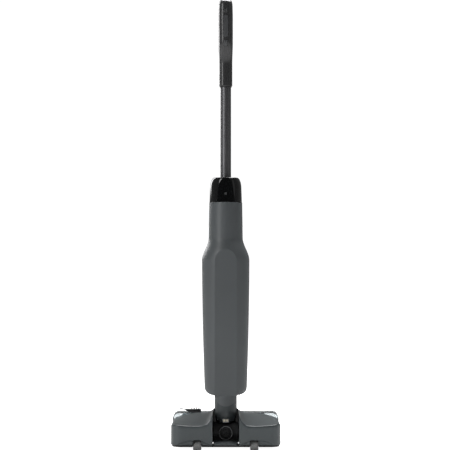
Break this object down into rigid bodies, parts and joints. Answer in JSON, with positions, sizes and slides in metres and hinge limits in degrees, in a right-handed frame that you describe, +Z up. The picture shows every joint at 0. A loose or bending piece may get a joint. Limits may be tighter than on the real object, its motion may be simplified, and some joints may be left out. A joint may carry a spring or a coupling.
{
  "type": "wet dry floor scrubber",
  "caption": "Upright cordless floor scrubber: powered roller head on wheels, tilting and swivelling body with two water tanks, metal tube and bent-back grip.",
  "frame": {"origin": "on the floor, in the middle of the floor head's width and depth, machine upright and parked", "axes": "+Z up, +Y the push direction (front), +X to the right of the person who pushes the machine"},
  "size_m": [0.268, 0.25, 1.1014],
  "materials": {
    "satin_shell": "satin moulded",
    "head_shell": "satin moulded",
    "black_matt": "matt moulded",
    "black_gloss": "high gloss",
    "tube_metal": "dark anodised",
    "grip_plastic": "satin moulded",
    "strip_plastic": "satin moulded",
    "clear_plastic": "clear moulded",
    "smoked_plastic": "smoked clear moulded",
    "tyre_rubber": "matt",
    "seal_rubber": "matt",
    "steel": "turned",
    "gold_plate": "plated",
    "roller_nap": "short pile",
    "circuit_board": "coated laminate",
    "motor_case": "satin",
    "ring_plastic": "satin moulded",
    "battery_wrap": "heat-shrunk film"
  },
  "bodies": {
    "floor_head": {"head_base": "black_matt", "left_lobe_cover": "head_shell", "right_lobe_cover": "head_shell", "bridge_cover": "head_shell", "rear_block": "head_shell", "suction_duct": "black_matt", "squeegee": "seal_rubber", "front_bumper": "seal_rubber", "spray_bar": "black_matt", "brush_motor": "motor_case", "drive_belt": "seal_rubber", "left_wheel_axle": "steel", "right_wheel_axle": "steel", "left_pivot_pin": "steel", "right_pivot_pin": "steel"},
    "brush_cover": {"brush_cover": "clear_plastic"},
    "cover_button": {"cover_button": "black_matt"},
    "roller": {"roller_core": "grip_plastic", "roller_nap": "roller_nap", "roller_end_cap": "black_matt", "roller_pulley": "black_matt"},
    "motor_pulley": {"motor_pulley": "steel"},
    "left_wheel": {"left_wheel_hub": "black_matt", "left_wheel_tyre": "tyre_rubber"},
    "right_wheel": {"right_wheel_hub": "black_matt", "right_wheel_tyre": "tyre_rubber"},
    "tilt_yoke": {"tilt_yoke": "black_matt", "yoke_cap": "black_gloss", "yoke_cap_ring": "ring_plastic"},
    "main_body": {"neck": "head_shell", "contact_holder": "black_matt", "left_charge_contact": "gold_plate", "right_charge_contact": "gold_plate", "rear_housing": "satin_shell", "front_frame": "satin_shell", "top_cap": "black_gloss", "cap_back_panel": "black_gloss", "display_lens": "black_gloss", "display_board": "circuit_board", "battery_pack": "battery_wrap", "main_board": "circuit_board", "suction_motor": "motor_case", "motor_gasket": "seal_rubber", "water_pump": "motor_case", "suction_hose": "seal_rubber"},
    "impeller": {"impeller": "ring_plastic"},
    "dirty_tank": {"dirty_tank": "smoked_plastic", "dirty_tank_lid": "black_matt", "tank_filter": "roller_nap"},
    "tank_latch": {"tank_latch": "ring_plastic"},
    "clean_tank": {"clean_tank": "clear_plastic", "clean_tank_plate": "clear_plastic"},
    "fill_cap": {"fill_cap": "seal_rubber"},
    "handle": {"handle_tube": "tube_metal", "grip": "grip_plastic", "grip_strip": "strip_plastic", "handle_collar": "black_matt"},
    "handle_release": {"handle_release": "ring_plastic"},
    "power_button": {"power_button": "ring_plastic"},
    "mode_button": {"mode_button": "grip_plastic"}
  },
  "joints": [
    {"name": "handle_tilt", "type": "hinge", "parent": "floor_head", "child": "tilt_yoke", "pos_m": [0, -0.045, 0.038], "axis": [1, 0, 0], "range_deg": [0, 75]},
    {"name": "body_swivel", "type": "hinge", "parent": "tilt_yoke", "child": "main_body", "pos_m": [0, -0.045, 0.085], "axis": [0, 0, 1], "range_deg": [-45, 45]},
    {"name": "roller_spin", "type": "hinge", "parent": "floor_head", "child": "roller", "pos_m": [0, 0.079, 0.033], "axis": [1, 0, 0], "continuous": true},
    {"name": "motor_pulley_spin", "type": "hinge", "parent": "floor_head", "child": "motor_pulley", "pos_m": [0, 0.0064, 0.034], "axis": [1, 0, 0], "continuous": true},
    {"name": "left_wheel_spin", "type": "hinge", "parent": "floor_head", "child": "left_wheel", "pos_m": [-0.0695, -0.108, 0.0125], "axis": [1, 0, 0], "continuous": true},
    {"name": "right_wheel_spin", "type": "hinge", "parent": "floor_head", "child": "right_wheel", "pos_m": [0.0695, -0.108, 0.0125], "axis": [1, 0, 0], "continuous": true},
    {"name": "brush_cover_lift", "type": "slide", "parent": "floor_head", "child": "brush_cover", "axis": [0, 0, 1], "range_m": [0, 0.055]},
    {"name": "cover_button_press", "type": "slide", "parent": "brush_cover", "child": "cover_button", "axis": [0, 0, -1], "range_m": [0, 0.002], "stiffness_N_per_m": 300},
    {"name": "impeller_spin", "type": "hinge", "parent": "main_body", "child": "impeller", "pos_m": [0, -0.043, 0.5], "axis": [0, 0, 1], "continuous": true},
    {"name": "dirty_tank_slide", "type": "slide", "parent": "main_body", "child": "dirty_tank", "axis": [0, 1, 0], "range_m": [0, 0.12]},
    {"name": "tank_latch_press", "type": "slide", "parent": "dirty_tank", "child": "tank_latch", "axis": [0, 0, -1], "range_m": [0, 0.002], "stiffness_N_per_m": 300},
    {"name": "clean_tank_slide", "type": "slide", "parent": "main_body", "child": "clean_tank", "axis": [0, 1, 0], "range_m": [0, 0.12]},
    {"name": "fill_cap_pull", "type": "slide", "parent": "clean_tank", "child": "fill_cap", "axis": [0, 1, 0], "range_m": [0, 0.02]},
    {"name": "handle_slide", "type": "slide", "parent": "main_body", "child": "handle", "axis": [0, 0, 1], "range_m": [0, 0.045]},
    {"name": "handle_release_press", "type": "slide", "parent": "main_body", "child": "handle_release", "axis": [0, 1, 0], "range_m": [0, 0.002], "stiffness_N_per_m": 300},
    {"name": "power_button_press", "type": "slide", "parent": "handle", "child": "power_button", "axis": [0, 1, 0], "range_m": [0, 0.002], "stiffness_N_per_m": 300},
    {"name": "mode_button_press", "type": "slide", "parent": "handle", "child": "mode_button", "axis": [0, 1, 0], "range_m": [0, 0.002], "stiffness_N_per_m": 300}
  ],
  "couplings": [
    {"joint": "motor_pulley_spin", "follows": "roller_spin", "ratio": 2.1429}
  ]
}
